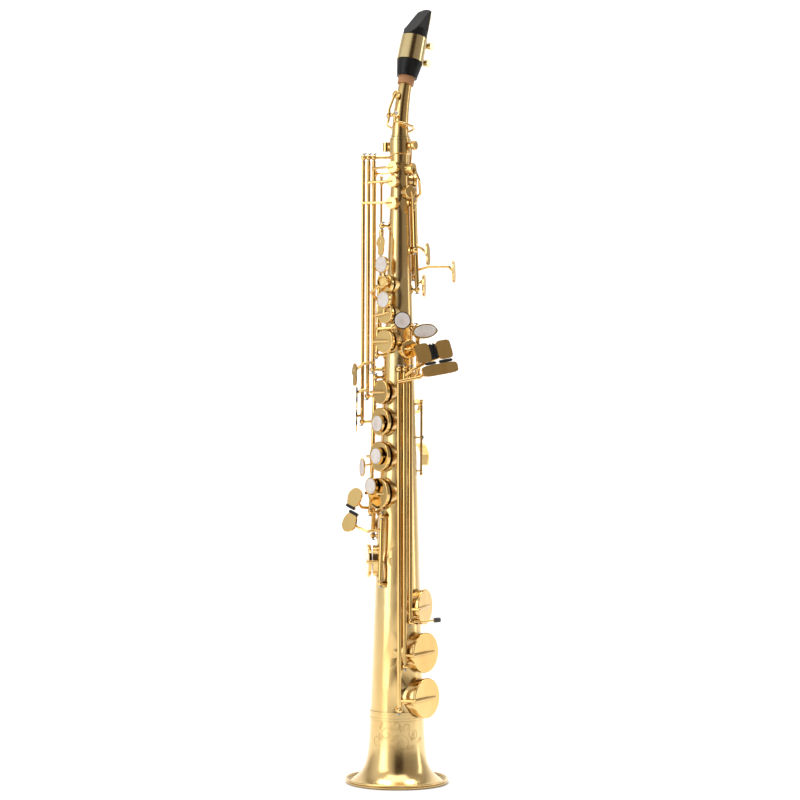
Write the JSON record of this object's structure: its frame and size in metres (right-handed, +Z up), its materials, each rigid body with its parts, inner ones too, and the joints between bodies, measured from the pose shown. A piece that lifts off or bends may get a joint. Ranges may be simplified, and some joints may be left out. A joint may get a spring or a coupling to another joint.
{
  "type": "soprano saxophone",
  "caption": "Straight soprano saxophone in gold lacquer with a curved neck, pearl finger touches, padded key cups, a black mouthpiece with reed and a gold ligature.",
  "frame": {"origin": "centre of the bell rim's underside, on the bore's axis", "axes": "+Z up the bore from bell to mouthpiece; -Y is the side with the long bell-key rods; +X is the side of the large bell keys"},
  "size_m": [0.1039, 0.092, 0.6991],
  "materials": {
    "lacquer_brass": "satin",
    "key_brass": "polished",
    "ligature_brass": "polished",
    "pivot_steel": "polished",
    "ebonite": "gloss",
    "cork": "matte",
    "cane": "matte",
    "pearl": "gloss",
    "pad_leather": "matte"
  },
  "bodies": {
    "key_F_sharp": {"key_F_sharp": "key_brass", "key_F_sharp_pad": "pad_leather"},
    "key_F": {"key_F": "key_brass", "key_F_pad": "pad_leather", "key_F_pearl": "pearl"},
    "key_E": {"key_E": "key_brass", "key_E_pad": "pad_leather", "key_E_pearl": "pearl"},
    "key_D": {"key_D": "key_brass", "key_D_pad": "pad_leather", "key_D_pearl": "pearl"},
    "key_G": {"key_G": "key_brass", "key_G_pad": "pad_leather", "key_G_pearl": "pearl"},
    "key_A": {"key_A": "key_brass", "key_A_pad": "pad_leather", "key_A_pearl": "pearl"},
    "key_B": {"key_B": "key_brass", "key_B_pad": "pad_leather", "key_B_pearl": "pearl"},
    "key_bis": {"key_bis": "key_brass"},
    "key_front_F": {"key_front_F": "key_brass"},
    "side_key_E": {"side_key_E": "key_brass"},
    "side_key_C": {"side_key_C": "key_brass"},
    "side_key_B_flat": {"side_key_B_flat": "key_brass"},
    "palm_key_D": {"palm_key_D": "key_brass"},
    "palm_key_F": {"palm_key_F": "key_brass"},
    "palm_key_E_flat": {"palm_key_E_flat": "key_brass"},
    "key_low_B_flat": {"key_low_B_flat": "key_brass", "key_low_B_flat_pad": "pad_leather"},
    "key_low_B": {"key_low_B": "key_brass", "key_low_B_pad": "pad_leather"},
    "key_low_C_sharp": {"key_low_C_sharp": "key_brass", "key_low_C_sharp_pad": "pad_leather"},
    "key_G_sharp": {"key_G_sharp": "key_brass", "key_G_sharp_pad": "pad_leather", "key_G_sharp_pearl": "pearl"},
    "key_low_C": {"key_low_C": "key_brass", "key_low_C_pad": "pad_leather"},
    "key_low_E_flat": {"key_low_E_flat": "key_brass", "key_low_E_flat_pad": "pad_leather"},
    "body": {"neck": "lacquer_brass", "neck_cork": "cork", "mouthpiece": "ebonite", "reed": "cane", "ligature": "ligature_brass", "ligature_screws": "ligature_brass", "body_tube": "lacquer_brass", "bell_rim": "lacquer_brass", "bell": "lacquer_brass", "neck_receiver": "lacquer_brass", "receiver_screw": "key_brass", "lyre_socket": "key_brass", "strap_ring": "key_brass", "thumb_hook": "key_brass", "thumb_rest": "ebonite", "posts": "key_brass", "steel_rods": "pivot_steel"},
    "neck_octave_key": {"neck_octave_key": "key_brass"},
    "octave_lever": {"octave_lever": "key_brass"}
  },
  "joints": [
    {"name": "key_F_sharp_hinge", "type": "hinge", "parent": "body", "child": "key_F_sharp", "pos_m": [-0.02488, -0.0035, 0.243], "axis": [0.0329, 0.0046, 0.9994], "range_deg": [0, 9], "stiffness_Nm_per_rad": 0.03, "springref_deg": -17.19},
    {"name": "key_F_hinge", "type": "hinge", "parent": "body", "child": "key_F", "pos_m": [-0.02488, -0.0035, 0.243], "axis": [0.0329, 0.0046, 0.9994], "range_deg": [0, 7], "stiffness_Nm_per_rad": 0.03, "springref_deg": -17.19},
    {"name": "key_E_hinge", "type": "hinge", "parent": "body", "child": "key_E", "pos_m": [-0.02488, -0.0035, 0.243], "axis": [0.0329, 0.0046, 0.9994], "range_deg": [0, 7], "stiffness_Nm_per_rad": 0.03, "springref_deg": -17.19},
    {"name": "key_D_hinge", "type": "hinge", "parent": "body", "child": "key_D", "pos_m": [-0.02488, -0.0035, 0.243], "axis": [0.0329, 0.0046, 0.9994], "range_deg": [0, 6.5], "stiffness_Nm_per_rad": 0.03, "springref_deg": -17.19},
    {"name": "key_G_hinge", "type": "hinge", "parent": "body", "child": "key_G", "pos_m": [-0.01975, -0.00278, 0.384], "axis": [0.0329, 0.0046, 0.9994], "range_deg": [0, 8], "stiffness_Nm_per_rad": 0.03, "springref_deg": -17.19},
    {"name": "key_A_hinge", "type": "hinge", "parent": "body", "child": "key_A", "pos_m": [-0.01975, -0.00278, 0.384], "axis": [0.0329, 0.0046, 0.9994], "range_deg": [0, 8], "stiffness_Nm_per_rad": 0.03, "springref_deg": -17.19},
    {"name": "key_B_hinge", "type": "hinge", "parent": "body", "child": "key_B", "pos_m": [-0.01975, -0.00278, 0.384], "axis": [0.0329, 0.0046, 0.9994], "range_deg": [0, 8], "stiffness_Nm_per_rad": 0.03, "springref_deg": -17.19},
    {"name": "key_bis_hinge", "type": "hinge", "parent": "body", "child": "key_bis", "pos_m": [-0.01975, -0.00278, 0.384], "axis": [-0.0329, -0.0046, -0.9994], "range_deg": [0, 4], "stiffness_Nm_per_rad": 0.03, "springref_deg": -17.19},
    {"name": "key_front_F_hinge", "type": "hinge", "parent": "body", "child": "key_front_F", "pos_m": [-0.01975, -0.00278, 0.384], "axis": [0.0329, 0.0046, 0.9994], "range_deg": [-9, 0], "stiffness_Nm_per_rad": 0.03, "springref_deg": 17.19},
    {"name": "side_key_E_hinge", "type": "hinge", "parent": "body", "child": "side_key_E", "pos_m": [-0.02342, 0.00288, 0.371], "axis": [0, 0, -1], "range_deg": [0, 12], "stiffness_Nm_per_rad": 0.03, "springref_deg": -17.19},
    {"name": "side_key_C_hinge", "type": "hinge", "parent": "body", "child": "side_key_C", "pos_m": [-0.02809, 0.00345, 0.347], "axis": [0, 0, -1], "range_deg": [0, 12], "stiffness_Nm_per_rad": 0.03, "springref_deg": -17.19},
    {"name": "side_key_B_flat_hinge", "type": "hinge", "parent": "body", "child": "side_key_B_flat", "pos_m": [-0.03275, 0.00402, 0.324], "axis": [0, 0, -1], "range_deg": [0, 12], "stiffness_Nm_per_rad": 0.03, "springref_deg": -17.19},
    {"name": "palm_key_D_hinge", "type": "hinge", "parent": "body", "child": "palm_key_D", "pos_m": [0.01384, -0.00559, 0.478], "axis": [-0.0308, 0.0124, 0.9994], "range_deg": [0, 12], "stiffness_Nm_per_rad": 0.03, "springref_deg": -17.19},
    {"name": "palm_key_F_hinge", "type": "hinge", "parent": "body", "child": "palm_key_F", "pos_m": [0.01607, 0.00056, 0.443], "axis": [-0.0332, -0.0012, 0.9994], "range_deg": [0, 12], "stiffness_Nm_per_rad": 0.03, "springref_deg": -17.19},
    {"name": "palm_key_E_flat_hinge", "type": "hinge", "parent": "body", "child": "palm_key_E_flat", "pos_m": [0.01236, 0.00966, 0.455], "axis": [-0.0261, -0.0204, 0.9994], "range_deg": [0, 12], "stiffness_Nm_per_rad": 0.03, "springref_deg": -17.19},
    {"name": "key_low_B_flat_hinge", "type": "hinge", "parent": "body", "child": "key_low_B_flat", "pos_m": [0.0021, -0.03006, 0.068], "axis": [-0.0069, 0.0329, 0.9994], "range_deg": [0, 6.5], "stiffness_Nm_per_rad": 0.03, "springref_deg": -17.19},
    {"name": "key_low_B_hinge", "type": "hinge", "parent": "body", "child": "key_low_B", "pos_m": [0.00673, -0.02804, 0.107], "axis": [-0.0058, 0.0328, 0.9994], "range_deg": [0, 6.5], "stiffness_Nm_per_rad": 0.03, "springref_deg": -17.19},
    {"name": "key_low_C_sharp_hinge", "type": "hinge", "parent": "body", "child": "key_low_C_sharp", "pos_m": [0.01164, -0.02496, 0.146], "axis": [0.0058, -0.0345, -0.9994], "range_deg": [0, 8], "stiffness_Nm_per_rad": 0.03, "springref_deg": -17.19},
    {"name": "key_G_sharp_hinge", "type": "hinge", "parent": "body", "child": "key_G_sharp", "pos_m": [0.0177, -0.00644, 0.366], "axis": [-0.0312, 0.0113, 0.9994], "range_deg": [0, 8], "stiffness_Nm_per_rad": 0.03, "springref_deg": -17.19},
    {"name": "key_low_C_hinge", "type": "hinge", "parent": "body", "child": "key_low_C", "pos_m": [-0.01552, -0.01987, 0.18], "axis": [-0.0204, -0.0261, -0.9994], "range_deg": [0, 6.5], "stiffness_Nm_per_rad": 0.03, "springref_deg": -17.19},
    {"name": "key_low_E_flat_hinge", "type": "hinge", "parent": "body", "child": "key_low_E_flat", "pos_m": [-0.02269, 0.00737, 0.221], "axis": [0.0316, -0.0103, 0.9994], "range_deg": [0, 8], "stiffness_Nm_per_rad": 0.03, "springref_deg": -17.19},
    {"name": "neck_octave_key_hinge", "type": "hinge", "parent": "body", "child": "neck_octave_key", "pos_m": [-0.01121, -0.00408, 0.59941], "axis": [0.7431, -0.6691, 0], "range_deg": [0, 4], "stiffness_Nm_per_rad": 0.03, "springref_deg": -17.19},
    {"name": "octave_lever_hinge", "type": "hinge", "parent": "body", "child": "octave_lever", "pos_m": [0.00519, 0.01427, 0.482], "axis": [-0.0113, -0.0312, 0.9994], "range_deg": [0, 8], "stiffness_Nm_per_rad": 0.03, "springref_deg": -17.19}
  ],
  "couplings": [
    {"joint": "key_F_sharp_hinge", "follows": "key_F_hinge", "ratio": 1.1},
    {"joint": "neck_octave_key_hinge", "follows": "octave_lever_hinge", "ratio": 0.5}
  ]
}
